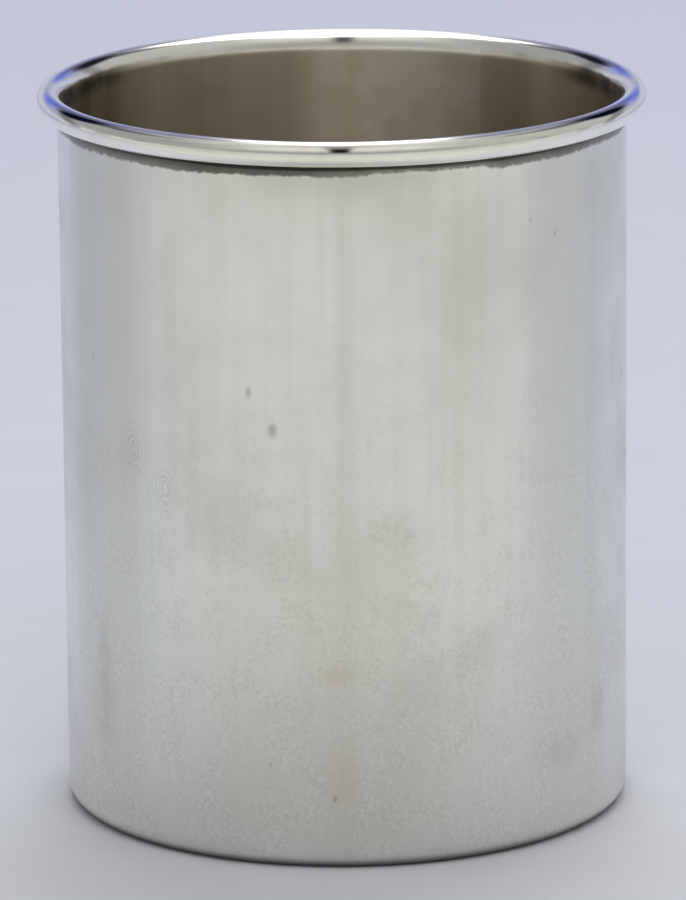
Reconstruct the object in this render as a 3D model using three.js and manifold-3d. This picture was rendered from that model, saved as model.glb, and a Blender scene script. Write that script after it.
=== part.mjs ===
// A small juice cup of sterling silver, made by hand from sheet and wire.
// A strip of sheet is rolled into a straight cylinder and soldered down one seam. A disc whose
// edge is turned up is soldered on as the base, and a heavy rounded wire is soldered round the
// outside of the lip, so that the mouth is stiff and smooth to drink from.
// Millimetres, +Z up. The origin is the middle of the base, on the surface the cup stands on.

import * as THREE from 'three';
import { mergeVertices, toCreasedNormals } from 'three/addons/utils/BufferGeometryUtils.js';
import Module from 'manifold-3d';

const wasm = await Module();
wasm.setup();

// Driving dimensions
const cupHeight = 82.5;
const bodyRadius = 32;
const sheetThickness = 0.7;
const rimReach = 2.35;         // how far the rim stands out past the wall
const rimRound = 1.4;          // radius that the outside of the wire is rounded to
const rimSolderDrop = 1.9;     // how far the solder runs down the wall below the rim
const lipDepth = 2.5;          // how far down the inside the mouth is rounded over
const cornerRadius = 2.1;      // outside of the turned-up edge of the base
const standingRingWidth = 2.6; // flat ring on the underside that the cup stands on
const baseRise = 0.9;          // how far the middle of the base is domed upwards
const baseJointHeight = 4;     // where the turned-up edge meets the wall
const solderThickness = 0.2;
const seamTurn = 59;           // degrees from +X to the wall's seam and the wire's joint
const stepsRound = 96;         // facets in each full turn

// Sizes that follow from them
const wallInside = bodyRadius - sheetThickness;
const jointLow = baseJointHeight - solderThickness / 2;
const jointHigh = baseJointHeight + solderThickness / 2;
const rimCentre = bodyRadius + rimReach - rimRound;
const rimLevel = cupHeight - rimRound;
const rimLowest = -Math.PI / 2;
const rimTop = Math.PI / 2;
const lipReach = rimCentre - wallInside;
const lipLevel = cupHeight - lipDepth;
const lipJointTurn = Math.acos((bodyRadius - rimCentre) / lipReach);
const wireSeatTurn = -Math.acos((bodyRadius - rimCentre) / rimRound);
const rimUnderside = rimLevel + rimRound * Math.sin(wireSeatTurn);
const cornerCentre = bodyRadius - cornerRadius;
const ringInside = cornerCentre - standingRingWidth;
const domeRadius = (ringInside ** 2 + baseRise ** 2) / (2 * baseRise);
const domeCentre = baseRise - domeRadius;

const wallSilver = new THREE.MeshStandardMaterial({ color: 0xb9bab4, metalness: 1, roughness: 0.42 });
const baseSilver = new THREE.MeshStandardMaterial({ color: 0xb2b2ab, metalness: 1, roughness: 0.45 });
const rimSilver = new THREE.MeshStandardMaterial({ color: 0xdcdcd4, metalness: 1, roughness: 0.08 });
const solderSilver = new THREE.MeshStandardMaterial({ color: 0x8c8b84, metalness: 1, roughness: 0.5 });

// Points of a round stretch of an outline, in (radius, height), from one angle to another.
function arc(centreRadius, centreHeight, radius, from, to, steps) {
  const clockwise = to < from;
  return new THREE.EllipseCurve(centreRadius, centreHeight, radius, radius, from, to, clockwise)
    .getPoints(steps);
}

// Points along the outside round of the rim, shared by the wire and the solder below it.
function rimArc(from, to, steps) {
  return arc(rimCentre, rimLevel, rimRound, from, to, steps);
}

// Points along the inside of the mouth, a quarter of an oval that the wire and the wall share.
function lipArc(from, to, steps) {
  return new THREE.EllipseCurve(rimCentre, lipLevel, lipReach, lipDepth, from, to).getPoints(steps);
}

function point(radius, height) {
  return new THREE.Vector2(radius, height);
}

// Turns an outline once round the cup's axis and stands that axis along +Z.
function turned(outline) {
  return new THREE.LatheGeometry(outline, stepsRound).rotateX(Math.PI / 2);
}

// A ring whose outline keeps clear of the axis, closed on its own first point.
function ring(outline) {
  return turned([...outline, outline[0].clone()]);
}

// A thin upright slice of space at the seam, tall and deep enough to cut right through a ring.
function seamSlice() {
  const depth = 4 * (sheetThickness + rimReach);
  const slice = new THREE.BoxGeometry(depth, solderThickness, 2 * cupHeight);
  slice.translate(bodyRadius, 0, 0);
  return slice.rotateZ(THREE.MathUtils.degToRad(seamTurn));
}

function toSolid(geometry) {
  const bare = geometry.clone();
  bare.deleteAttribute('normal');
  bare.deleteAttribute('uv');
  const merged = mergeVertices(bare);
  return new wasm.Manifold(new wasm.Mesh({
    numProp: 3,
    vertProperties: new Float32Array(merged.attributes.position.array),
    triVerts: new Uint32Array(merged.index.array),
  }));
}

function toGeometry(solid) {
  const mesh = solid.getMesh();
  const geometry = new THREE.BufferGeometry();
  geometry.setAttribute('position', new THREE.BufferAttribute(mesh.vertProperties, mesh.numProp));
  geometry.setIndex(new THREE.BufferAttribute(mesh.triVerts, 1));
  return toCreasedNormals(geometry, THREE.MathUtils.degToRad(35));
}

// A ring sawn through at the seam, and the sliver of solder that fills the saw cut.
function sawnRing(outline) {
  const whole = toSolid(ring(outline));
  const slice = toSolid(seamSlice());
  return { sawn: toGeometry(whole.subtract(slice)), filling: toGeometry(whole.intersect(slice)) };
}

// The wall: straight sheet, its lip rounded over to the inside.
function wallOutline() {
  return [
    point(wallInside, jointHigh),
    point(bodyRadius, jointHigh),
    ...lipArc(lipJointTurn, Math.PI, 8),
  ];
}

// The wire: round outside, rounded over to the inside with the lip, and filed flat where it lies
// against the wall.
function rimWireOutline() {
  return [
    ...rimArc(wireSeatTurn, rimLowest, 2),
    ...rimArc(rimLowest, rimTop, 10).slice(1),
    ...lipArc(rimTop, lipJointTurn, 3).slice(1),
  ];
}

// The line of solder drawn into the corner under the wire, hollow like any fillet.
function rimSolderOutline() {
  const foot = point(bodyRadius, rimUnderside - rimSolderDrop);
  const heel = point(rimCentre, rimLevel - rimRound);
  const corner = point(bodyRadius, heel.y);
  return [
    ...new THREE.QuadraticBezierCurve(foot, corner, heel).getPoints(4),
    ...rimArc(rimLowest, wireSeatTurn, 2).slice(1),
  ];
}

// The base: a dome inside a flat standing ring, with its edge turned up to meet the wall.
function baseOutline() {
  const right = Math.PI / 2;
  const floorDome = domeRadius + sheetThickness;
  const underDomeEdge = Math.acos(ringInside / domeRadius);
  const floorDomeEdge = Math.asin((sheetThickness - domeCentre) / floorDome);
  return [
    ...arc(0, domeCentre, domeRadius, right, underDomeEdge, 4),
    ...arc(cornerCentre, cornerRadius, cornerRadius, -right, 0, 6),
    point(bodyRadius, jointLow),
    point(wallInside, jointLow),
    ...arc(cornerCentre, cornerRadius, cornerRadius - sheetThickness, 0, -right, 5),
    ...arc(0, domeCentre, floorDome, floorDomeEdge, right, 4),
  ];
}

function baseSolderOutline() {
  return [
    point(wallInside, jointLow),
    point(bodyRadius, jointLow),
    point(bodyRadius, jointHigh),
    point(wallInside, jointHigh),
  ];
}

const cup = new THREE.Group();

function add(name, geometry, material) {
  const piece = new THREE.Mesh(geometry, material);
  piece.name = name;
  cup.add(piece);
}

const wall = sawnRing(wallOutline());
const rimWire = sawnRing(rimWireOutline());

add('side_wall', wall.sawn, wallSilver);
add('wall_seam_solder', wall.filling, solderSilver);
add('base_pan', turned(baseOutline()), baseSilver);
add('base_joint_solder', ring(baseSolderOutline()), solderSilver);
add('rim_wire', rimWire.sawn, rimSilver);
add('rim_wire_joint_solder', rimWire.filling, solderSilver);
add('rim_solder_line', ring(rimSolderOutline()), solderSilver);

export default cup;
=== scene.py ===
# %% [markdown]
# # A hand-made silver juice cup
# The cup is made of sterling silver sheet and wire. A strip of sheet is rolled into a cylinder,
# a shallow dished base is soldered under it, and a heavy wire is soldered round its lip.
# The solids of the cup are already settled elsewhere. This lesson loads them as a frame that is
# never moved, and builds smooth skins, finishes, light and a camera round them.

# %% Load the frame
import math

import bmesh
import bpy
from mathutils import Matrix, Vector


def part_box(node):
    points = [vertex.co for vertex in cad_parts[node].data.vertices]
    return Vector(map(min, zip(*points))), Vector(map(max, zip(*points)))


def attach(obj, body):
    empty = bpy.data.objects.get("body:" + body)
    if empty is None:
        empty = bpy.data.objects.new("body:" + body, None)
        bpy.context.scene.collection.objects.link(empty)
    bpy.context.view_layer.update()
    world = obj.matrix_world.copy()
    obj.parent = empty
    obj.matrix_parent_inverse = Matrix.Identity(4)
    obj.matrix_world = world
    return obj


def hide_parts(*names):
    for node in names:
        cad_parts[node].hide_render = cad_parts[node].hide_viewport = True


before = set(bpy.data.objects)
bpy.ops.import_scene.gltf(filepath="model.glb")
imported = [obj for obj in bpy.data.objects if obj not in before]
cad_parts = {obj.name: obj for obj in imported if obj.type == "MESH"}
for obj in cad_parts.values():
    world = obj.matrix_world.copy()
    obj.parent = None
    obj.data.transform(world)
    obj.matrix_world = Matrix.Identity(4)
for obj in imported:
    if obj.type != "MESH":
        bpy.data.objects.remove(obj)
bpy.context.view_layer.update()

print("solids:", sorted(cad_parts))

# %% [markdown]
# ## Sizes
# Most sizes are read from the boxes round the solids, so that a skin always lies where its solid
# is. A box doesn't tell how thick a sheet is or how round an edge is, so those few are written.

# %% Read the sizes
mm = 0.001
sheet = 0.7 * mm
corner_radius = 2.1 * mm
ring_width = 2.6 * mm
base_rise = 0.9 * mm
lip_depth = 2.5 * mm
seam_turn = math.radians(59)

wire_low, wire_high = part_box("rim_wire")
fillet_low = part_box("rim_solder_line")[0]
joint_low, joint_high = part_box("base_joint_solder")

body_radius = joint_high.x
wall_inside = body_radius - sheet
cup_height = wire_high.z
rim_round = (wire_high.z - wire_low.z) / 2
rim_centre = wire_high.x - rim_round
rim_level = wire_high.z - rim_round
base_joint = (joint_low.z + joint_high.z) / 2
print(f"height {cup_height / mm:.1f} mm")
print(f"wall {2 * body_radius / mm:.1f} mm and rim {2 * wire_high.x / mm:.1f} mm across")

# %% [markdown]
# ## The camera
# The photograph was taken from about 0.8 m away with a long lens, a little above the rim, so that
# the mouth shows as a thin oval. The distance, height and tilt come from fitting the outlines of
# the cup. A long lens keeps the sides of the cup nearly parallel.

# %% Place the camera
camera_distance = 790.75 * mm
camera_height = 238.2 * mm
camera_sideways = -0.22 * mm
camera_tilt = math.radians(14.07)
camera_roll = math.radians(0.504)
image_height = 900
focal_pixels = 7169.3

camera = bpy.data.objects.new("camera", bpy.data.cameras.new("camera"))
bpy.context.scene.collection.objects.link(camera)
camera.data.sensor_width = 36
camera.data.lens = focal_pixels * camera.data.sensor_width / image_height
camera.data.clip_start = 0.01
camera.matrix_world = (
    Matrix.Translation((camera_sideways, -camera_distance, camera_height))
    @ Matrix.Rotation(math.pi / 2 - camera_tilt, 4, "X")
    @ Matrix.Rotation(-camera_roll, 4, "Z")
)
bpy.context.scene.camera = camera
bpy.context.scene.view_settings.view_transform = "Standard"
print(f"lens {camera.data.lens:.0f} mm at {camera_distance / mm:.0f} mm")

# %% [markdown]
# ## A helper for nodes
# Shapes, finishes and light are all made of nodes here. One small function adds a node, sets its
# properties and fills its inputs, with a value or with the output of another node.
# Colours are written as sRGB hex values, as a paint chart gives them, and turned to linear once.

# %% Add a node, and read a colour
def add(tree, kind, inputs=None, **settings):
    """Adds a node to a tree. An input is a value, a socket, or a node whose first output is used."""
    node = tree.nodes.new(kind)
    for name, value in settings.items():
        setattr(node, name, value)
    for key, value in (inputs or {}).items():
        if isinstance(value, bpy.types.Node):
            value = next(output for output in value.outputs if output.enabled)
        if isinstance(value, bpy.types.NodeSocket):
            tree.links.new(value, node.inputs[key])
        else:
            node.inputs[key].default_value = value
    return node


def linear(hex_colour):
    """An sRGB hex colour as linear RGBA."""
    channels = [int(hex_colour[i:i + 2], 16) / 255 for i in (1, 3, 5)]
    return [c / 12.92 if c <= 0.04045 else ((c + 0.055) / 1.055) ** 2.4 for c in channels] + [1]


print("middle grey is", round(linear("#808080")[0], 3), "in linear light")

# %% [markdown]
# ## Soft masks
# Both the finishes and the room are painted in layers: a colour, and a mask that says where it
# goes. A mask here is a product of soft steps. Each step takes a number, such as a height, and
# rises smoothly from 0 at its first value to 1 at its second.

# %% Soft masks and paint
def soft_mask(tree, *steps):
    """The product of soft steps, each given as (number, where it is 0, where it is 1)."""
    mask = None
    for number, nothing, full in steps:
        step = add(tree, "ShaderNodeMapRange", {
            "Value": number, "From Min": nothing, "From Max": full,
        }, interpolation_type="SMOOTHSTEP")
        if mask is not None:
            step = add(tree, "ShaderNodeMath", {0: mask, 1: step}, operation="MULTIPLY")
        mask = step
    return mask


def paint(tree, below, hex_colour, mask, strength=1.0):
    """Lays a colour over what is below it, where the mask is."""
    amount = add(tree, "ShaderNodeMath", {0: mask, 1: strength}, operation="MULTIPLY")
    below = linear(below) if isinstance(below, str) else below
    return add(tree, "ShaderNodeMix", {0: amount, 6: below, 7: linear(hex_colour)}, data_type="RGBA")


# %% [markdown]
# ## Outlines
# A turned piece is known by its outline, the shape that a cut through the wall would show.
# An outline here is a list of (radius, height) points. Round stretches are arcs, and straight
# stretches of the wall get a point every millimetre or so, because the sheet isn't quite flat.

# %% Draw stretches of an outline
def arc(centre, radius, start, end, steps):
    """Points on a circle's arc, from one angle to another in degrees."""
    angles = [math.radians(start + (end - start) * i / steps) for i in range(steps + 1)]
    return [(centre[0] + radius * math.cos(a), centre[1] + radius * math.sin(a)) for a in angles]


def straight(start, end, steps):
    """Evenly spaced points on a line, without its first point."""
    return [tuple(a + (b - a) * i / steps for a, b in zip(start, end)) for i in range(1, steps + 1)]


def rim_arc(start, end, steps):
    """A stretch of the outside round of the wire."""
    return arc((rim_centre, rim_level), rim_round, start, end, steps)


# %% [markdown]
# The mouth was filed and polished over to the inside after the wire was soldered on, so the wire
# and the sheet share one surface there. Its section is a quarter of an oval, deeper than it is
# wide, and it runs into the upright wall without a crease.

# %% The wall's outline
lip_reach = rim_centre - wall_inside
lip_level = cup_height - lip_depth


def lip_arc(start, end, steps):
    """A stretch of the oval that rounds the mouth over to the inside."""
    turns = [math.radians(start + (end - start) * i / steps) for i in range(steps + 1)]
    return [(rim_centre + lip_reach * math.cos(t), lip_level + lip_depth * math.sin(t)) for t in turns]


seam_width = 0.1 * mm
joint_line = 0.06 * mm
wall_foot = base_joint + joint_line / 2
pan_top = base_joint - joint_line / 2

lip_joint = math.degrees(math.acos((body_radius - rim_centre) / lip_reach))
lip = lip_arc(lip_joint, 180, 24)
wall_outline = (
    [(wall_inside, wall_foot), (body_radius, wall_foot)]
    + straight((body_radius, wall_foot), lip[0], 80)
    + lip[1:]
    + straight(lip[-1], (wall_inside, wall_foot), 50)[:-1]
)
print(f"the wall meets the wire at {lip[0][1] / mm:.2f} mm, its outline has {len(wall_outline)} points")

# %% [markdown]
# The base is one disc of sheet. Its middle is domed up inside a flat standing ring, and its edge
# is turned up on a small radius. The under side and the upper side are parallel, one gauge apart.

# %% The base's and the rim's outlines
corner_centre = (body_radius - corner_radius, corner_radius)
ring_inside = corner_centre[0] - ring_width
dome_radius = (ring_inside ** 2 + base_rise ** 2) / (2 * base_rise)
dome_centre = (0, base_rise - dome_radius)
floor_dome = dome_radius + sheet
under_edge = math.degrees(math.acos(ring_inside / dome_radius))
floor_edge = math.degrees(math.asin((sheet - dome_centre[1]) / floor_dome))
base_outline = (
    arc(dome_centre, dome_radius, 90, under_edge, 24)
    + arc(corner_centre, corner_radius, -90, 0, 16)
    + straight((body_radius, corner_radius), (body_radius, pan_top), 3)
    + [(wall_inside, pan_top)]
    + arc(corner_centre, corner_radius - sheet, 0, -90, 12)
    + arc(dome_centre, floor_dome, floor_edge, 90, 24)
)

base_joint_outline = [
    (wall_inside, pan_top), (body_radius, pan_top), (body_radius, wall_foot), (wall_inside, wall_foot),
]

wire_seat = -math.degrees(math.acos((body_radius - rim_centre) / rim_round))
wire_outline = rim_arc(wire_seat, 90, 40) + lip_arc(90, lip_joint, 8)[1:]

solder_heel = (rim_centre, rim_level - rim_round)
solder_foot = (body_radius, fillet_low.z)
solder_hollow = (body_radius + 0.07 * mm, fillet_low.z + 0.85 * mm)
solder_outline = (
    [solder_foot]
    + straight(solder_foot, solder_hollow, 4)
    + straight(solder_hollow, solder_heel, 3)
    + rim_arc(-90, wire_seat, 4)[1:]
)
print(f"base {len(base_outline)} points, wire {len(wire_outline)}, line of solder {len(solder_outline)}")

# %% [markdown]
# ## Turning an outline into a piece
# A silversmith rolls the wall round a mandrel and draws the wire round the lip: both are one
# section carried round a circle. They could be turned with a Screw modifier or point by point.
# Geometry Nodes suit this best, because the circle, the section, the saw cut for the solder and
# the unevenness of hand work are then named inputs of one tree.

# %% The inputs of the turned piece tree
turned_tree = bpy.data.node_groups.new("turned piece", "GeometryNodeTree")
turned_inputs = {
    "Geometry": "NodeSocketGeometry",
    "Outline": "NodeSocketObject",
    "Finish": "NodeSocketMaterial",
    "Radius": "NodeSocketFloat",
    "Start angle": "NodeSocketFloat",
    "Turn": "NodeSocketFloat",
    "Steps": "NodeSocketInt",
    "Close ends": "NodeSocketBool",
    "Dents per metre": "NodeSocketFloat",
    "Dent depth": "NodeSocketFloat",
    "Heel height": "NodeSocketFloat",
    "Raggedness": "NodeSocketFloat",
}
for name, kind in turned_inputs.items():
    turned_tree.interface.new_socket(name, in_out="INPUT", socket_type=kind)
turned_tree.interface.new_socket("Geometry", in_out="OUTPUT", socket_type="NodeSocketGeometry")
given = add(turned_tree, "NodeGroupInput").outputs
print("turned piece tree takes", len(turned_inputs), "inputs")

# %% [markdown]
# A sawn piece follows an arc, whose ends are filled. A whole piece follows a circle that closes on
# itself, so that it has no seam anywhere.

# %% Sweep the outline round the circle
sawn_circle = add(turned_tree, "GeometryNodeCurveArc", {
    "Resolution": given["Steps"],
    "Radius": given["Radius"],
    "Start Angle": given["Start angle"],
    "Sweep Angle": given["Turn"],
}, mode="RADIUS")
whole_circle = add(turned_tree, "GeometryNodeCurvePrimitiveCircle", {
    "Resolution": given["Steps"], "Radius": given["Radius"],
}, mode="RADIUS")
circle = add(turned_tree, "GeometryNodeSwitch", {
    "Switch": given["Close ends"], "False": whole_circle, "True": sawn_circle,
}, input_type="GEOMETRY")
level_circle = add(turned_tree, "GeometryNodeSetCurveNormal", {"Curve": circle}, mode="Z_UP")
section = add(turned_tree, "GeometryNodeObjectInfo", {"Object": given["Outline"]})
swept = add(turned_tree, "GeometryNodeCurveToMesh", {
    "Curve": level_circle,
    "Profile Curve": section.outputs["Geometry"],
    "Fill Caps": given["Close ends"],
})
weld_distance = 0.002 * mm
closed = add(turned_tree, "GeometryNodeMergeByDistance", {"Geometry": swept, "Distance": weld_distance})

# %% [markdown]
# Sheet that is planished by hand is never quite round. Each point moves inwards by a smooth noise
# of its place, never outwards, so that the skin stays inside its solid. The same field moves all
# the pieces, so that neighbours stay together.

# %% Dent it
place = add(turned_tree, "GeometryNodeInputPosition")
flat_place = add(turned_tree, "ShaderNodeVectorMath", {0: place, 1: (1, 1, 0)}, operation="MULTIPLY")
outward = add(turned_tree, "ShaderNodeVectorMath", {0: flat_place}, operation="NORMALIZE")
dents = add(turned_tree, "ShaderNodeTexNoise", {
    "Vector": place, "Scale": given["Dents per metre"], "Detail": 1.0,
})
inward_share = add(turned_tree, "ShaderNodeMath", {0: dents.outputs[0], 1: 1.0}, operation="SUBTRACT")
inward = add(turned_tree, "ShaderNodeMath", {0: inward_share, 1: given["Dent depth"]}, operation="MULTIPLY")
dent_shift = add(turned_tree, "ShaderNodeVectorMath", {0: outward, "Scale": inward}, operation="SCALE")

# %% [markdown]
# Solder runs as far as the heat draws it, so its foot is ragged. Points below the heel are drawn
# back up towards it by a share that changes along the seam: long swells of about 20 mm, and a
# crumbly edge of about 1 mm.

# %% Make its foot ragged
swells_per_metre = 50.0
crumbs_per_metre = 700.0
crumb_share = 0.75
height_of = add(turned_tree, "ShaderNodeSeparateXYZ", {0: place}).outputs["Z"]
below_heel = add(turned_tree, "ShaderNodeMath", {
    0: given["Heel height"], 1: height_of,
}, operation="SUBTRACT")
drawn = add(turned_tree, "ShaderNodeMath", {0: below_heel, 1: 0.0}, operation="MAXIMUM")
on_circle = add(turned_tree, "ShaderNodeVectorMath", {
    0: outward, "Scale": given["Radius"],
}, operation="SCALE")
swells = add(turned_tree, "ShaderNodeTexNoise", {
    "Vector": on_circle, "Scale": swells_per_metre, "Detail": 0.0,
})
crumbs = add(turned_tree, "ShaderNodeTexNoise", {
    "Vector": on_circle, "Scale": crumbs_per_metre, "Detail": 3.0,
})
swell_share = soft_mask(turned_tree, (swells.outputs[0], 0.36, 0.62))
uneven = add(turned_tree, "ShaderNodeMath", {
    0: crumbs.outputs[0], 1: crumb_share, 2: swell_share,
}, operation="MULTIPLY_ADD")
share = add(turned_tree, "ShaderNodeMath", {0: uneven, 1: given["Raggedness"]}, operation="MULTIPLY")
raised = add(turned_tree, "ShaderNodeMath", {0: drawn, 1: share}, operation="MULTIPLY")
raise_shift = add(turned_tree, "ShaderNodeCombineXYZ", {"Z": raised})
shift = add(turned_tree, "ShaderNodeVectorMath", {0: dent_shift, 1: raise_shift}, operation="ADD")
shaped = add(turned_tree, "GeometryNodeSetPosition", {"Geometry": closed, "Offset": shift})

# %% [markdown]
# The skin is shaded smooth, except across edges that bend by more than 35 degrees, which stay
# crisp. The tree ends with its finish, as real faces.

# %% Shade it, and end the tree
crease = math.radians(35)
smooth = add(turned_tree, "GeometryNodeSetShadeSmooth", {0: shaped, "Shade Smooth": True}, domain="FACE")
bend = add(turned_tree, "GeometryNodeInputMeshEdgeAngle")
sharp = add(turned_tree, "ShaderNodeMath", {0: bend, 1: crease}, operation="GREATER_THAN")
creased = add(turned_tree, "GeometryNodeSetShadeSmooth", {
    0: smooth, "Selection": sharp, "Shade Smooth": False,
}, domain="EDGE")
real = add(turned_tree, "GeometryNodeRealizeInstances", {0: creased})
finished = add(turned_tree, "GeometryNodeSetMaterial", {0: real, "Material": given["Finish"]})
add(turned_tree, "NodeGroupOutput", {0: finished})
print("turned piece tree has", len(turned_tree.nodes), "nodes")

# %% [markdown]
# ## From tree to plain mesh
# The tree runs on an empty mesh through a modifier. Its inputs are set by their identifiers, the
# result is read back as a plain mesh, and the modifier goes, so that a finished piece is only a
# mesh at the origin.

# %% Run the tree
def outline_curve(name, points, closed_on_itself):
    """A flat curve for the tree to sweep. Its X is radius and its Y runs down."""
    curve = bpy.data.curves.new(name, "CURVE")
    curve.dimensions = "3D"
    line = curve.splines.new("POLY")
    line.points.add(len(points) - 1)
    for line_point, (radius, height) in zip(line.points, points):
        line_point.co = (radius - body_radius, -height, 0, 1)
    line.use_cyclic_u = closed_on_itself
    item = bpy.data.objects.new(name, curve)
    bpy.context.scene.collection.objects.link(item)
    return item


def run_tree(name, values):
    """Evaluates the turned piece tree with named values and returns a plain mesh object."""
    piece = bpy.data.objects.new(name, bpy.data.meshes.new(name))
    bpy.context.scene.collection.objects.link(piece)
    modifier = piece.modifiers.new("turn", "NODES")
    modifier.node_group = turned_tree
    for socket in turned_tree.interface.items_tree:
        if socket.in_out == "INPUT" and socket.name in values:
            modifier[socket.identifier] = values[socket.name]
    depsgraph = bpy.context.evaluated_depsgraph_get()
    mesh = bpy.data.meshes.new_from_object(piece.evaluated_get(depsgraph), depsgraph=depsgraph)
    piece.modifiers.clear()
    piece.data = mesh
    mesh.name = name
    return piece


# %% [markdown]
# A closed mesh whose volume comes out negative is inside out, and its faces are turned round. Open
# edges are counted too, because a turned piece should have none.

# %% Face it outwards
def face_outwards(mesh):
    """Turns an inside-out mesh the right way, and prints its size and any open edges."""
    shape = bmesh.new()
    shape.from_mesh(mesh)
    open_edges = sum(edge.is_boundary for edge in shape.edges)
    volume = shape.calc_volume(signed=True)
    if volume < 0:
        bmesh.ops.reverse_faces(shape, faces=shape.faces)
        shape.to_mesh(mesh)
    shape.free()
    print(f"{mesh.name}: {len(mesh.polygons)} faces, {open_edges} open edges")
    print(f"    {abs(volume) / mm ** 3:.1f} mm3")


# %% [markdown]
# ## Where things are on the cup
# Marks and streaks are given by their turn round the cup, in degrees from the front towards the
# right, and their height in mm. The finish works both out from Object coordinates. It also works
# out the facing, which is above 0 where the surface looks outwards or down, and below 0 where it
# looks inwards or up.

# %% Coordinates on the cup
def cup_coordinates(tree):
    """Sockets for the place on the cup: point and height in mm, turn in degrees, and facing."""
    source = add(tree, "ShaderNodeTexCoord").outputs
    point = add(tree, "ShaderNodeVectorMath", {0: source["Object"], "Scale": 1 / mm}, operation="SCALE")
    axes = add(tree, "ShaderNodeSeparateXYZ", {0: point}).outputs
    to_front = add(tree, "ShaderNodeMath", {0: axes["Y"], 1: -1.0}, operation="MULTIPLY")
    radians = add(tree, "ShaderNodeMath", {0: axes["X"], 1: to_front}, operation="ARCTAN2")
    turn = add(tree, "ShaderNodeMath", {0: radians}, operation="DEGREES")
    away = add(tree, "ShaderNodeVectorMath", {0: point, 1: (1, 1, 0)}, operation="MULTIPLY")
    away_unit = add(tree, "ShaderNodeVectorMath", {0: away}, operation="NORMALIZE")
    out_and_down = add(tree, "ShaderNodeVectorMath", {0: away_unit, 1: (0, 0, -1)}, operation="ADD")
    facing = add(tree, "ShaderNodeVectorMath", {
        0: source["Normal"], 1: out_and_down,
    }, operation="DOT_PRODUCT").outputs["Value"]
    return point, axes["Z"], turn, facing


def on_cup(turn, height):
    """The point in mm at a turn in degrees and a height in mm on the outside of the wall."""
    angle = math.radians(turn)
    radius = body_radius / mm
    return (radius * math.sin(angle), -radius * math.cos(angle), height)


print("the middle of the front is at", on_cup(0, cup_height / mm / 2))

# %% [markdown]
# Nearly all the marks on old silver have soft, uneven edges. Two helpers give them: a mottle is a
# noise whose cells have a chosen size, and a blotch is an oval on the wall whose edge such a noise
# breaks up. Sizes are in mm, except on the floor, whose coordinates are in metres.

# %% Mottles and blotches
def mottle(tree, point, size, detail=2.0, seed=0.0, stretch=1.0):
    """Noise with cells of a size in the unit of the point, seeded, and stretched upwards if wanted."""
    moved = add(tree, "ShaderNodeMapping", {
        "Vector": point, "Location": (seed, seed, 0), "Scale": (1 / size, 1 / size, 1 / (size * stretch)),
    })
    return add(tree, "ShaderNodeTexNoise", {"Vector": moved, "Scale": 1.0, "Detail": detail}).outputs[0]


def blotch(tree, point, turn, height, width, tall, rough_edge):
    """A soft oval mask on the wall, its edge broken up by a noise."""
    middle = on_cup(turn, height)
    from_middle = add(tree, "ShaderNodeVectorMath", {0: point, 1: middle}, operation="SUBTRACT")
    oval = add(tree, "ShaderNodeVectorMath", {
        0: from_middle, 1: (2 / width, 2 / width, 2 / tall),
    }, operation="MULTIPLY")
    length = add(tree, "ShaderNodeVectorMath", {0: oval}, operation="LENGTH").outputs["Value"]
    distance = add(tree, "ShaderNodeMath", {0: rough_edge, 1: 1.2, 2: length}, operation="MULTIPLY_ADD")
    return soft_mask(tree, (distance, 1.6, 0.6))


# %% [markdown]
# ## Tarnish and painted shade under the rim
# The corner under the rim is painted nearly black, as painted shade, and below that the solder and
# the wall beside it are painted grey to a ragged line, as tarnish and painted shade. It is one band
# over two pieces, so both take it from the same function. In front, the band is darkest left of the
# middle, and shallower to the right of it.

# %% The stain
stain_and_shade_foot = 79.05
stain_and_shade_crumb_size = 0.7
stain_and_shade_swell_size = 13.0


def under_rim(tree, colour, point, height, turn):
    """Lays the tarnish and painted shade under the rim over a colour."""
    crumbs = mottle(tree, point, stain_and_shade_crumb_size, detail=4.0, seed=9.0)
    swells = mottle(tree, point, stain_and_shade_swell_size, detail=1.0, seed=14.0)
    ragged = add(tree, "ShaderNodeMath", {0: crumbs, 1: 0.7, 2: height}, operation="MULTIPLY_ADD")
    uneven = add(tree, "ShaderNodeMath", {0: swells, 1: 1.1, 2: ragged}, operation="MULTIPLY_ADD")
    shallow = soft_mask(tree, (turn, 3.5, 7.0), (turn, 33.0, 28.0))
    lifted = add(tree, "ShaderNodeMath", {0: shallow, 1: -0.4, 2: uneven}, operation="MULTIPLY_ADD")
    # Tarnish and painted shade: a grey band with a ragged foot under the rim, darker higher up.
    grey = soft_mask(tree, (lifted, stain_and_shade_foot, stain_and_shade_foot + 0.35))
    colour = paint(tree, colour, "#8B8A83", grey, 0.95)
    dark = soft_mask(tree, (lifted, stain_and_shade_foot + 0.25, stain_and_shade_foot + 1.15))
    colour = paint(tree, colour, "#65645E", dark, 0.9)
    darkest = soft_mask(
        tree, (lifted, stain_and_shade_foot, stain_and_shade_foot + 0.45), (turn, -38.0, -28.0), (turn, -3.0, -7.0))
    colour = paint(tree, colour, "#4E4D48", darkest, 0.5)
    # Painted shade: the corner right under the rim is painted nearly black.
    corner = soft_mask(tree, (height, stain_and_shade_foot + 0.05, stain_and_shade_foot + 0.4))
    return paint(tree, colour, "#211F1B", corner, 0.9)


# %% [markdown]
# ## Worn satin silver
# The wall is sterling silver that was rubbed round and round to a satin finish, and has been
# handled since. Fine rubbing marks lie round the cup, so they smear a reflection upwards and
# downwards while it stays narrow sideways. That gives the eye a soft grey sheen with faint upright
# streaks. One anisotropic shader is too even for this, so a tight one and a broad one are mixed.

# %% The sheen of rubbed metal
quarter_turn = 0.25


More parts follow.
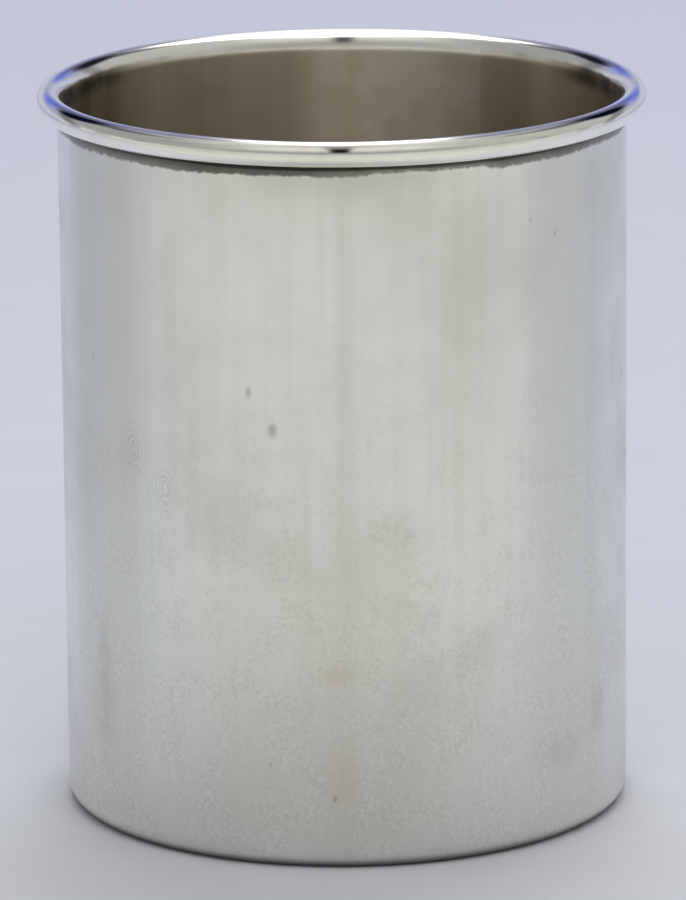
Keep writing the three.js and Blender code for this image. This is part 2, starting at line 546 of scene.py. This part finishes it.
def rubbed_satin(tree, colour, tight, broad, blend):
    """Metal rubbed round the cup, from two (roughness, anisotropy) pairs and their blend."""
    round_axis = add(tree, "ShaderNodeTangent", direction_type="RADIAL", axis="Z")
    sheens = [add(tree, "ShaderNodeBsdfPrincipled", {
        "Base Color": colour, "Metallic": 1.0, "Roughness": roughness,
        "Anisotropic": anisotropy, "Anisotropic Rotation": quarter_turn, "Tangent": round_axis,
    }) for roughness, anisotropy in (tight, broad)]
    return add(tree, "ShaderNodeMixShader", {0: blend, 1: sheens[0], 2: sheens[1]})


# %% [markdown]
# A thin tarnish dulls the wall in clouds. The middle of the front is painted brightest, as a painted
# sheen, with a faint painted shade of the camera down its middle. The wall is painted darker towards
# the sides as painted shade, and below the rim and towards the foot as tarnish and painted shade.
# Faint upright lines come from wiping.

# %% Clouds and lines
cloud_size = 16.0
small_cloud_size = 4.5
line_width = 1.6
line_stretch = 25.0


def tarnish_sheen_and_shade(tree, point, height, turn, clouds, small_clouds):
    """Tarnish clouds and lines on the wall, with a painted sheen and painted shade."""
    lines = mottle(tree, point, line_width, detail=3.0, seed=17.0, stretch=line_stretch)
    colour = paint(tree, "#F2F3F1", "#E6E6E2", soft_mask(tree, (clouds, 0.40, 0.72)))
    # Painted sheen: the middle of the front is painted brighter.
    painted_front_sheen = soft_mask(
        tree, (turn, -36.0, -20.0), (turn, 26.0, 10.0), (height, 78.0, 66.0), (height, 28.0, 56.0))
    colour = paint(tree, colour, "#FBFCFF", painted_front_sheen, 0.75)
    # Painted reflection: a faint dark upright line of the camera down the middle.
    painted_camera_shade = soft_mask(tree, (turn, -3.2, -0.4), (turn, 2.4, 0.2))
    colour = paint(tree, colour, "#DCDCD8", painted_camera_shade, 0.2)
    # Tarnish and painted shade: the wall is painted darker just below the rim.
    below_stain = soft_mask(tree, (height, 74.5, 79.5), (turn, -28.0, -10.0), (turn, 30.0, 8.0))
    colour = paint(tree, colour, "#D4D4CF", below_stain, 0.6)
    # Painted shade: both sides of the wall are painted darker, the left more.
    left_side = soft_mask(tree, (turn, -40.0, -50.0), (turn, -74.0, -64.0), (height, 1.5, 4.0))
    colour = paint(tree, colour, "#D6D6CE", left_side, 0.55)
    right_side = soft_mask(tree, (turn, 36.0, 46.0), (turn, 70.0, 58.0), (height, 1.5, 4.0))
    colour = paint(tree, colour, "#DADAD2", right_side, 0.45)
    colour = paint(tree, colour, "#DEDED8", soft_mask(tree, (small_clouds, 0.35, 0.8)), 0.25)
    colour = paint(tree, colour, "#D8D8D2", soft_mask(tree, (lines, 0.4, 0.7)), 0.16)
    # Tarnish and painted shade: the wall is painted darker towards the foot.
    return paint(tree, colour, "#CFCFC8", soft_mask(tree, (height, 34.0, 3.0)), 0.6)


# %% [markdown]
# Years of small knocks and damp leave a fine leathery grain, in patches and mostly low down. The
# real grain is about 0.1 mm, and it is drawn coarser, at 0.45 mm, which is as fine as shows.

# %% Grain
grain_size = 0.45


def leathery_grain(tree, colour, point, height, small_clouds):
    """Lays dark and pale grain over a colour, more of it low down."""
    grain = mottle(tree, point, grain_size, detail=2.0, seed=5.0)
    rough = soft_mask(tree, (height, 76.0, 20.0), (small_clouds, 0.25, 0.65))
    dark = add(tree, "ShaderNodeMath", {
        0: soft_mask(tree, (grain, 0.5, 0.66)), 1: rough,
    }, operation="MULTIPLY")
    pale = add(tree, "ShaderNodeMath", {
        0: soft_mask(tree, (grain, 0.5, 0.34)), 1: rough,
    }, operation="MULTIPLY")
    colour = paint(tree, colour, "#B4B4AE", dark, 0.18)
    return paint(tree, colour, "#FBFBF7", pale, 0.25)


# %% [markdown]
# ## Marks of use
# Damp left warm stains near the foot of the front, grey blotches lie to both sides of it, and
# single specks of tarnish are scattered over the wall. A finger has left two smudges. Their ridges
# are 0.48 mm apart, as on an adult's finger, and are drawn as uneven ovals.
# A mark is given by its turn, the height of its middle, its width and how tall it is. A speck has
# one size, its width.

# %% Place the marks
warm_stains = ((-1.5, 22.3, 5.0, 3.0), (-1.0, 10.6, 6.0, 11.0))
grey_blotches = ((62.0, 14.0, 5.0, 8.0), (48.0, 10.5, 12.0, 6.0), (-58.0, 17.0, 7.0, 26.0))
specks = (
    (-19.2, 54.2, 1.2), (-14.4, 50.0, 1.3), (-60.7, 55.1, 0.6), (39.8, 71.9, 0.6),
    (-15.5, 11.9, 0.6), (-2.6, 8.3, 0.7), (46.6, 69.9, 0.8), (77.0, 50.4, 0.9),
)
speck_tallness = 1.6
finger_smudges = ((-47.0, 45.8, 6.5, 9.0), (-38.5, 42.0, 6.0, 8.0))
ridge_spacing = 0.48
mark_edge_size = 2.2
print(len(warm_stains) + len(grey_blotches) + len(specks) + len(finger_smudges), "marks")

# %% Lay them on
def finger_ridges(tree, point, turn, height, waviness):
    """Ridges in uneven ovals round a place on the wall."""
    middle = on_cup(turn, height)
    from_middle = add(tree, "ShaderNodeVectorMath", {0: point, 1: middle}, operation="SUBTRACT")
    oval = add(tree, "ShaderNodeVectorMath", {0: from_middle, 1: (1.0, 1.0, 0.6)}, operation="MULTIPLY")
    length = add(tree, "ShaderNodeVectorMath", {0: oval}, operation="LENGTH").outputs["Value"]
    wavy = add(tree, "ShaderNodeMath", {0: waviness, 1: 1.5, 2: length}, operation="MULTIPLY_ADD")
    phase = add(tree, "ShaderNodeMath", {0: wavy, 1: 2 * math.pi / ridge_spacing}, operation="MULTIPLY")
    wave = add(tree, "ShaderNodeMath", {0: phase}, operation="SINE")
    return soft_mask(tree, (wave, -0.6, 0.8))


def marks_of_use(tree, colour, point):
    """Lays the stains, blotches, specks and smudges over a colour."""
    edge = mottle(tree, point, mark_edge_size, detail=3.0, seed=8.0)
    for place in warm_stains:
        colour = paint(tree, colour, "#DCCBB6", blotch(tree, point, *place, edge), 0.4)
    for place in grey_blotches:
        colour = paint(tree, colour, "#B4B4AA", blotch(tree, point, *place, edge), 0.35)
    for turn, height, size in specks:
        speck = blotch(tree, point, turn, height, size, speck_tallness * size, edge)
        colour = paint(tree, colour, "#80807A", speck, 0.45)
    for turn, height, width, tall in finger_smudges:
        in_ridges = add(tree, "ShaderNodeMath", {
            0: finger_ridges(tree, point, turn, height, edge),
            1: blotch(tree, point, turn, height, width, tall, edge),
        }, operation="MULTIPLY")
        colour = paint(tree, colour, "#A8A8A2", in_ridges, 0.28)
    return colour


# %% [markdown]
# The layers go on in this order: the thin tarnish with its painted sheen and painted shade, the
# grain, the marks, then the tarnish and painted shade under the rim, and last painted shade in the
# base's corner.

# %% The satin finish, outside
def satin_outside(tree, point, height, turn):
    """The outside of the wall, the base and the line of solder under the rim."""
    clouds = mottle(tree, point, cloud_size, detail=4.0, seed=3.0)
    small_clouds = mottle(tree, point, small_cloud_size, detail=3.0, seed=11.0)
    colour = tarnish_sheen_and_shade(tree, point, height, turn, clouds, small_clouds)
    colour = leathery_grain(tree, colour, point, height, small_clouds)
    colour = marks_of_use(tree, colour, point)
    colour = under_rim(tree, colour, point, height, turn)
    # Painted shade: the base's rounded corner, below 1.5 mm, is painted dark.
    colour = paint(tree, colour, "#5A5A54", soft_mask(tree, (height, 1.5, 0.3)), 0.8)
    dullness = soft_mask(tree, (clouds, 0.2, 0.8))
    return rubbed_satin(tree, colour, (0.28, 0.9), (0.45, 0.4), dullness)


# %% [markdown]
# ## The inside of the cup
# Nobody polishes far down inside a narrow cup, so the silver there is browner with tarnish, and
# wiping it out leaves upright bands. Light bounces round inside several times, and each bounce
# takes more of the blue away. At the seam the two ends of the sheet were burnished differently,
# which shows as a sudden change of tone. Bands that follow the turn would run together in the
# middle of the bottom, so the bottom gets one plain tone over them.

# %% The satin finish, inside
band_width = 3.2
band_stretch = 40.0
spot_size = 5.0
seam_at = 90 + math.degrees(seam_turn)


def mouth_ends(tree, turn, start):
    """1 at the left and right ends of the mouth, starting at a turn from the front."""
    either_side = add(tree, "ShaderNodeMath", {0: turn}, operation="ABSOLUTE")
    return soft_mask(tree, (either_side, 55.0, 75.0), (either_side, start, 116.0))


def satin_inside(tree, point, height, turn):
    """The inside of the wall and the bottom."""
    bands = mottle(tree, point, band_width, detail=2.0, seed=20.0, stretch=band_stretch)
    spots = mottle(tree, point, spot_size, detail=3.0, seed=31.0)
    colour = paint(tree, "#F4EDE0", "#DED2BE", soft_mask(tree, (bands, 0.3, 0.7)), 0.6)
    # Painted shade: the inside is painted dark brown towards the left and right ends of the mouth.
    left_end = soft_mask(tree, (turn, -150.0, -108.0), (turn, -60.0, -80.0))
    colour = paint(tree, colour, "#8A7C68", left_end, 0.9)
    right_end = soft_mask(tree, (turn, 128.0, 100.0), (turn, 60.0, 80.0))
    colour = paint(tree, colour, "#8A7C68", right_end, 0.9)
    dark_band = soft_mask(tree, (turn, -173.0, -168.0), (turn, -158.0, -164.0))
    colour = paint(tree, colour, "#CDBFAA", dark_band, 0.45)
    # The far inside wall is painted lighter here, in a broad upright band.
    lighter_far_band = soft_mask(tree, (turn, 178.0, 173.0), (turn, 138.0, 148.0))
    colour = paint(tree, colour, "#FFF9EE", lighter_far_band, 0.95)
    past_seam = soft_mask(tree, (turn, seam_at - 0.2, seam_at - 0.8), (turn, seam_at - 60, seam_at - 1))
    colour = paint(tree, colour, "#CFC3AF", past_seam, 0.5)
    # Painted shade: the top of the inside wall at the ends of the mouth is painted nearly black.
    painted_shade_at_mouth_ends = add(tree, "ShaderNodeMath", {
        0: mouth_ends(tree, turn, 132.0), 1: soft_mask(tree, (height, 78.5, 80.0)),
    }, operation="MULTIPLY")
    colour = paint(tree, colour, "#3A3226", painted_shade_at_mouth_ends, 0.85)
    colour = paint(tree, colour, "#E9E0D0", soft_mask(tree, (height, 6.0, 2.0)))
    colour = paint(tree, colour, "#D8CCB8", soft_mask(tree, (spots, 0.4, 0.75)), 0.4)
    return rubbed_satin(tree, colour, (0.2, 0.7), (0.6, 0.9), 0.4)


# %% [markdown]
# ## The polished lip
# Wiping and drinking polish the rounded inside of the mouth, but less evenly than the outside of
# the rim, so it is a little rougher there and its lower edge wavers. At the left and right ends of
# the mouth the cloth doesn't reach as far over, so the polish ends higher up, and below it the
# silver is dull, and painted dark as painted shade.

# %% Polish the lip
polished_colour = "#F7F6F1"
lip_roughness = 0.13
lip_waver_size = 3.0
polish_start = 80.1
polish_full = 81.5


def polish_lip(tree, below, point, height, turn, facing):
    """Polishes the rounded inside of the mouth, over what is below."""
    polished = add(tree, "ShaderNodeBsdfPrincipled", {
        "Base Color": linear(polished_colour), "Metallic": 1.0, "Roughness": lip_roughness,
    })
    lip_noise = mottle(tree, point, lip_waver_size, detail=2.0, seed=2.0)
    lip_edge = add(tree, "ShaderNodeMath", {0: lip_noise, 1: 0.4, 2: height}, operation="MULTIPLY_ADD")
    at_ends = mouth_ends(tree, turn, 172.0)
    lowered = add(tree, "ShaderNodeMath", {0: at_ends, 1: -1.0, 2: lip_edge}, operation="MULTIPLY_ADD")
    sharper = add(tree, "ShaderNodeMath", {0: at_ends, 1: -0.9, 2: polish_full}, operation="MULTIPLY_ADD")
    is_lip = soft_mask(tree, (lowered, polish_start, sharper), (facing, 0.1, 0.0))
    return add(tree, "ShaderNodeMixShader", {0: is_lip, 1: below, 2: polished})


# %% [markdown]
# One finish dresses both sides of the sheet. The facing tells them apart, and the polish goes on
# last.

# %% Put the sides together
def new_finish(name):
    """A material with an empty node tree, and that tree."""
    finish = bpy.data.materials.new(name)
    finish.use_nodes = True
    finish.node_tree.nodes.clear()
    return finish, finish.node_tree


satin_silver, tree = new_finish("sterling silver, rubbed satin and worn")
point, height, turn, facing = cup_coordinates(tree)
outside = satin_outside(tree, point, height, turn)
inside = satin_inside(tree, point, height, turn)
is_outside = soft_mask(tree, (facing, -0.02, 0.02))
both = add(tree, "ShaderNodeMixShader", {0: is_outside, 1: inside, 2: outside})
add(tree, "ShaderNodeOutputMaterial", {0: polish_lip(tree, both, point, height, turn, facing)})
print(satin_silver.name, "has", len(tree.nodes), "nodes")

# %% [markdown]
# ## Polished silver
# The rim is drawn wire, filed to a round and polished by every hand and lip since. It mirrors the
# room sharply. Faint cloudiness from handling changes its roughness a little from place to place,
# and where it rounds over to the inside it is as rough as the lip.

# %% The polished finish
handling_size = 2.5

polished_silver, tree = new_finish("sterling silver, drawn wire polished by use")
point, height, turn, facing = cup_coordinates(tree)
handling = mottle(tree, point, handling_size, detail=3.0, seed=4.0)
outer_roughness = add(tree, "ShaderNodeMapRange", {"Value": handling, "To Min": 0.03, "To Max": 0.1})
inner_roughness = add(tree, "ShaderNodeMath", {
    0: soft_mask(tree, (facing, -0.6, -1.0)), 1: lip_roughness,
}, operation="MULTIPLY")
roughness = add(tree, "ShaderNodeMath", {0: outer_roughness, 1: inner_roughness}, operation="MAXIMUM")
wire_colour = paint(tree, polished_colour, "#E6E5DE", soft_mask(tree, (handling, 0.5, 0.75)), 0.5)
wire_shader = add(tree, "ShaderNodeBsdfPrincipled", {
    "Base Color": wire_colour, "Metallic": 1.0, "Roughness": roughness,
})
add(tree, "ShaderNodeOutputMaterial", {0: wire_shader})
print(polished_silver.name, "has", len(tree.nodes), "nodes")

# %% [markdown]
# ## Solder
# Silver solder filed flush is a little yellower and duller than the sheet beside it. The line of
# solder under the rim was rubbed satin with the wall and has tarnished with it, so it takes the
# wall's outside finish.

# %% The two solder finishes
filing_size = 0.8

filed_solder, tree = new_finish("silver solder, filed flush")
point, height, turn, facing = cup_coordinates(tree)
filing = mottle(tree, point, filing_size, detail=2.0, seed=6.0)
filed_colour = paint(tree, "#E2DECF", "#C8C4B2", soft_mask(tree, (filing, 0.4, 0.6)))
filed_shader = add(tree, "ShaderNodeBsdfPrincipled", {
    "Base Color": filed_colour, "Metallic": 1.0, "Roughness": 0.38,
})
add(tree, "ShaderNodeOutputMaterial", {0: polish_lip(tree, filed_shader, point, height, turn, facing)})

dark_solder, tree = new_finish("silver solder, rubbed satin and tarnished")
point, height, turn, facing = cup_coordinates(tree)
add(tree, "ShaderNodeOutputMaterial", {0: satin_outside(tree, point, height, turn)})
print("solder finishes made")

# %% [markdown]
# ## Making the pieces
# The wall and the wire are each one strip bent round, so they are sawn open at the seam, and the
# seam's solder is a piece of its own. The base and its solder are whole rounds.
# The outline of the base starts and ends on the axis, so it is the only open one.

# %% A turned piece
dents_per_metre = 55.0
dent_depth = 0.06 * mm


def turned_piece(
    name, node, slot, points, finish, whole=True, filling=False, closed=True, steps=360, **extra,
):
    """A piece turned round the cup's axis, dressed to replace its solid."""
    outline = outline_curve(name + "_outline", points, closed)
    half_cut = 0.0 if whole else seam_width / 2 / body_radius
    start, turn = seam_turn + half_cut, 2 * (math.pi - half_cut)
    if filling:
        start, turn = seam_turn - half_cut, 2 * half_cut
    piece = run_tree(name, {
        "Outline": outline,
        "Finish": finish,
        "Radius": body_radius,
        "Start angle": start,
        "Turn": turn,
        "Steps": 2 if filling else steps,
        "Close ends": not whole,
        "Dents per metre": dents_per_metre,
        "Dent depth": dent_depth,
        **extra,
    })
    bpy.data.objects.remove(outline)
    face_outwards(piece.data)
    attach(piece, "root")
    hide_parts(node)
    return piece


# %% [markdown]
# The mirror bright wire shows facets soonest, so it has more steps than the wall. The line of
# solder has the most, because its crumbly foot needs points less than 0.2 mm apart.

# %% Turn each piece
turned_piece("wall", "side_wall", "satin_wall", wall_outline, satin_silver, whole=False)
turned_piece(
    "wall_seam", "wall_seam_solder", "wall_solder", wall_outline, filed_solder,
    whole=False, filling=True)
turned_piece("base", "base_pan", "satin_base", base_outline, satin_silver, closed=False)
turned_piece("base_joint", "base_joint_solder", "wall_solder", base_joint_outline, satin_silver)
turned_piece(
    "rim", "rim_wire", "polished_rim", wire_outline, polished_silver,
    whole=False, steps=480)
turned_piece(
    "rim_joint", "rim_wire_joint_solder", "polished_rim", wire_outline, polished_silver,
    whole=False, filling=True)
turned_piece(
    "rim_solder", "rim_solder_line", "tarnished_solder", solder_outline, dark_solder,
    steps=1400, **{"Heel height": solder_heel[1], "Raggedness": 0.2})

# %% [markdown]
# ## The floor
# The cup stands on a wide sheet of pale paper. The light on it turns from warm near the camera to
# cool farther back, so the paper is given that slow change of colour. Its fibres lie in faint
# clouds of about 12 mm.

# %% Cut the paper
floor_size = 3.0
half = floor_size / 2
corners = [(-half, -half, 0), (half, -half, 0), (half, half, 0), (-half, half, 0)]
floor_mesh = bpy.data.meshes.new("floor")
floor_mesh.from_pydata(corners, [], [(0, 1, 2, 3)])
floor = bpy.data.objects.new("floor", floor_mesh)
bpy.context.scene.collection.objects.link(floor)
print(f"floor {floor_size} m square")

# %% Colour it, and lay it down
fibre_cloud_size = 12 * mm

paper, tree = new_finish("pale backdrop paper")
floor_place = add(tree, "ShaderNodeTexCoord").outputs["Object"]
floor_depth = add(tree, "ShaderNodeSeparateXYZ", {0: floor_place}).outputs["Y"]
paper_colour = paint(tree, "#E7E7DD", "#DADCE4", soft_mask(tree, (floor_depth, -0.10, -0.035)))
paper_colour = paint(tree, paper_colour, "#D4D7E4", soft_mask(tree, (floor_depth, 0.03, 0.10)))
paper_colour = paint(tree, paper_colour, "#C0C4D8", soft_mask(tree, (floor_depth, 0.08, 0.60)))
fibres = mottle(tree, floor_place, fibre_cloud_size, detail=4.0)
paper_colour = paint(tree, paper_colour, "#C6C8D0", soft_mask(tree, (fibres, 0.4, 0.7)), 0.12)
paper_shader = add(tree, "ShaderNodeBsdfPrincipled", {"Base Color": paper_colour, "Roughness": 0.9})
add(tree, "ShaderNodeOutputMaterial", {0: paper_shader})
floor_mesh.materials.append(paper)
print(paper.name, "has", len(tree.nodes), "nodes")

# %% [markdown]
# ## The room
# Polished silver shows mostly what is round it, so the room is painted with care on the world.
# Its layers are soft patches of direction: the azimuth is 0 degrees behind the cup and 180 at the
# camera, the same on both sides, and the elevation is 0 at the horizon and 90 straight up.

# %% Directions in the room
world = bpy.data.worlds.new("room")
bpy.context.scene.world = world
world.use_nodes = True
sky = world.node_tree
sky.nodes.clear()

direction = add(sky, "ShaderNodeTexCoord").outputs["Generated"]
compass = add(sky, "ShaderNodeSeparateXYZ", {0: direction}).outputs
to_side = add(sky, "ShaderNodeMath", {0: compass["X"]}, operation="ABSOLUTE")
azimuth_radians = add(sky, "ShaderNodeMath", {0: to_side, 1: compass["Y"]}, operation="ARCTAN2")
azimuth = add(sky, "ShaderNodeMath", {0: azimuth_radians}, operation="DEGREES")
elevation_radians = add(sky, "ShaderNodeMath", {0: compass["Z"]}, operation="ARCSINE")
elevation = add(sky, "ShaderNodeMath", {0: elevation_radians}, operation="DEGREES")
rightness = compass["X"]

# %% [markdown]
# The walls are pale where they meet the floor, dim a little above it, brighter again towards the
# ceiling and dimmer overhead. The sides are dimmer than the front, and the left side most of all.

# %% Paint the walls and ceiling
room = paint(sky, "#D2D2CE", "#A4A4A2", soft_mask(sky, (elevation, 3.0, 17.0)))
room = paint(sky, room, "#E0E0DB", soft_mask(sky, (elevation, 22.0, 52.0)))
room = paint(sky, room, "#CCC8C4", soft_mask(sky, (elevation, 64.0, 82.0)))
at_sides = soft_mask(sky, (azimuth, 150.0, 115.0), (elevation, 80.0, 55.0), (elevation, 0.0, 14.0))
room = paint(sky, room, "#B8B9B4", at_sides, 0.9)
left_side = soft_mask(
    sky, (azimuth, 140.0, 100.0), (elevation, 60.0, 42.0), (elevation, 4.0, 20.0),
    (rightness, 0.2, -0.6))
room = paint(sky, room, "#9A9C9B", left_side, 0.9)
print("walls painted")

# %% [markdown]
# Behind the cup hangs a blue-violet backdrop, bluest a little above the horizon and grey higher up.

# %% Paint the backdrop
room = paint(sky, room, "#C0C4DA", soft_mask(sky, (azimuth, 62.0, 42.0), (elevation, 14.0, 4.0)))
room = paint(sky, room, "#A0A5D0", soft_mask(
    sky, (azimuth, 46.0, 30.0), (elevation, 28.0, 18.0), (elevation, 7.0, 15.0)))
room = paint(sky, room, "#6E7CDC", soft_mask(
    sky, (azimuth, 32.0, 16.0), (azimuth, -4.0, 12.0), (elevation, 27.0, 19.0), (elevation, 9.0, 15.0)))
room = paint(sky, room, "#868AA4", soft_mask(
    sky, (azimuth, 52.0, 30.0), (elevation, 18.0, 28.0), (elevation, 68.0, 56.0)), 0.8)
print("backdrop painted")

# %% [markdown]
# To each side of the backdrop hangs something dark, which draws the navy lines on the rim. Two
# grey bands cross there. One climbs towards the sides of the room, and the other falls.

# %% Paint the dark hangings
def slanted_band(slope, start_elevation, half_width):
    """A soft band of directions whose elevation changes with its azimuth."""
    middle = add(sky, "ShaderNodeMath", {
        0: azimuth, 1: slope, 2: start_elevation,
    }, operation="MULTIPLY_ADD")
    above_middle = add(sky, "ShaderNodeMath", {0: elevation, 1: middle}, operation="SUBTRACT")
    distance = add(sky, "ShaderNodeMath", {0: above_middle}, operation="ABSOLUTE")
    return soft_mask(sky, (distance, half_width, half_width * 0.25))


climbing = add(sky, "ShaderNodeMath", {
    0: slanted_band(0.5, 19.0, 11.0), 1: soft_mask(sky, (azimuth, 3.0, 16.0), (azimuth, 92.0, 52.0)),
}, operation="MULTIPLY")
room = paint(sky, room, "#54565F", climbing, 0.85)
falling = add(sky, "ShaderNodeMath", {
    0: slanted_band(-0.85, 58.0, 10.0), 1: soft_mask(sky, (azimuth, 30.0, 38.0), (azimuth, 68.0, 58.0)),
}, operation="MULTIPLY")
room = paint(sky, room, "#50525C", falling, 0.6)


def spot(centre_azimuth, centre_elevation, half_width, half_height):
    """A soft oval patch of directions, repeated on both sides of the room."""
    sideways = add(sky, "ShaderNodeMath", {0: azimuth, 1: float(centre_azimuth)}, operation="SUBTRACT")
    upwards = add(sky, "ShaderNodeMath", {
        0: elevation, 1: float(centre_elevation),
    }, operation="SUBTRACT")
    across = add(sky, "ShaderNodeMath", {0: sideways, 1: 1 / half_width}, operation="MULTIPLY")
    along = add(sky, "ShaderNodeMath", {0: upwards, 1: 1 / half_height}, operation="MULTIPLY")
    offset = add(sky, "ShaderNodeCombineXYZ", {"X": across, "Y": along})
    distance = add(sky, "ShaderNodeVectorMath", {0: offset}, operation="LENGTH").outputs["Value"]
    return soft_mask(sky, (distance, 1.0, 0.45))


room = paint(sky, room, "#090B22", spot(34, 30, 20, 13))
print("hangings painted")

# %% [markdown]
# Above the backdrop shines a tall opening, the brightest part of the room. It is narrow where it
# meets the backdrop and wider higher up, and it fades out towards straight overhead. Its lower
# edge follows the lower one of two slanted lines.

# %% Paint the opening
steep_edge = add(sky, "ShaderNodeMath", {0: azimuth, 1: 2.2, 2: 22.0}, operation="MULTIPLY_ADD")
flat_edge = add(sky, "ShaderNodeMath", {0: azimuth, 1: 0.5, 2: 48.0}, operation="MULTIPLY_ADD")
opening_edge = add(sky, "ShaderNodeMath", {0: steep_edge, 1: flat_edge}, operation="MINIMUM")
above_edge = add(sky, "ShaderNodeMath", {0: elevation, 1: opening_edge}, operation="SUBTRACT")
room = paint(sky, room, "#FFFFFF", soft_mask(
    sky, (above_edge, -6.0, 4.0), (azimuth, 64.0, 46.0), (elevation, 91.0, 73.0)))
print("opening painted")

# %% [markdown]
# Small dark things stand about the room at table height, and show as short dark strokes near the
# ends of the rim. The camera itself looks in through a narrow gap between two screens. It shows as
# a small dark mark in the middle of the rim, and as a faint upright shade down the wall.

# %% Paint the things and the gap
for thing in ((62, 3, 6, 7), (78, 6, 6, 9), (98, 13, 5, 9)):
    room = paint(sky, room, "#6C6E70", spot(*thing), 0.35)
room = paint(sky, room, "#1E140E", soft_mask(
    sky, (rightness, -0.10, -0.045), (rightness, 0.075, 0.02), (azimuth, 90.0, 120.0),
    (elevation, 106.0, 48.0), (elevation, 14.0, 36.0)))
background = add(sky, "ShaderNodeBackground", {"Color": room, "Strength": 1.0})
add(sky, "ShaderNodeOutputWorld", {0: background})
print("room has", len(sky.nodes), "nodes")

# %% [markdown]
# ## Lamps
# A bright window lies close above the cup: on the near rim its reflection is 4 pixels tall and on
# the far rim 7, which only a near window does. Two larger lamps, one behind and one in front,
# light the paper. They are kept out of the reflections, where the room already stands for them.
# A lamp's power follows from its radiance and its area.

# %% Hang the lamps
def soft_box(name, width, depth, radiance, place, target, seen):
    """An area lamp of a given radiance, where 1 is as bright as white paper in plain light."""
    data = bpy.data.lights.new(name, "AREA")
    data.shape = "ELLIPSE"
    data.size = width
    data.size_y = depth
    data.energy = radiance * math.pi * (math.pi / 4 * width * depth)
    lamp = bpy.data.objects.new(name, data)
    lamp.location = place
    lamp.rotation_euler = (Vector(target) - Vector(place)).to_track_quat("-Z", "Y").to_euler()
    lamp.visible_glossy = seen
    bpy.context.scene.collection.objects.link(lamp)
    print(f"{name}: {data.energy:.2f} W")


window_width = 44 * mm
window_depth = 88 * mm
window_back = 28 * mm
window_place = (0, window_back, cup_height + 60 * mm)
soft_box("window above", window_width, window_depth, 1.4, window_place, (0, window_back, 0), True)
soft_box("lamp behind", 1.2, 1.0, 2.15, (0.15, 0.8, 0.95), (0, 0, 0), False)
soft_box("lamp in front", 1.2, 1.0, 1.5, (0.1, -0.9, 1.1), (0, 0, 0), False)
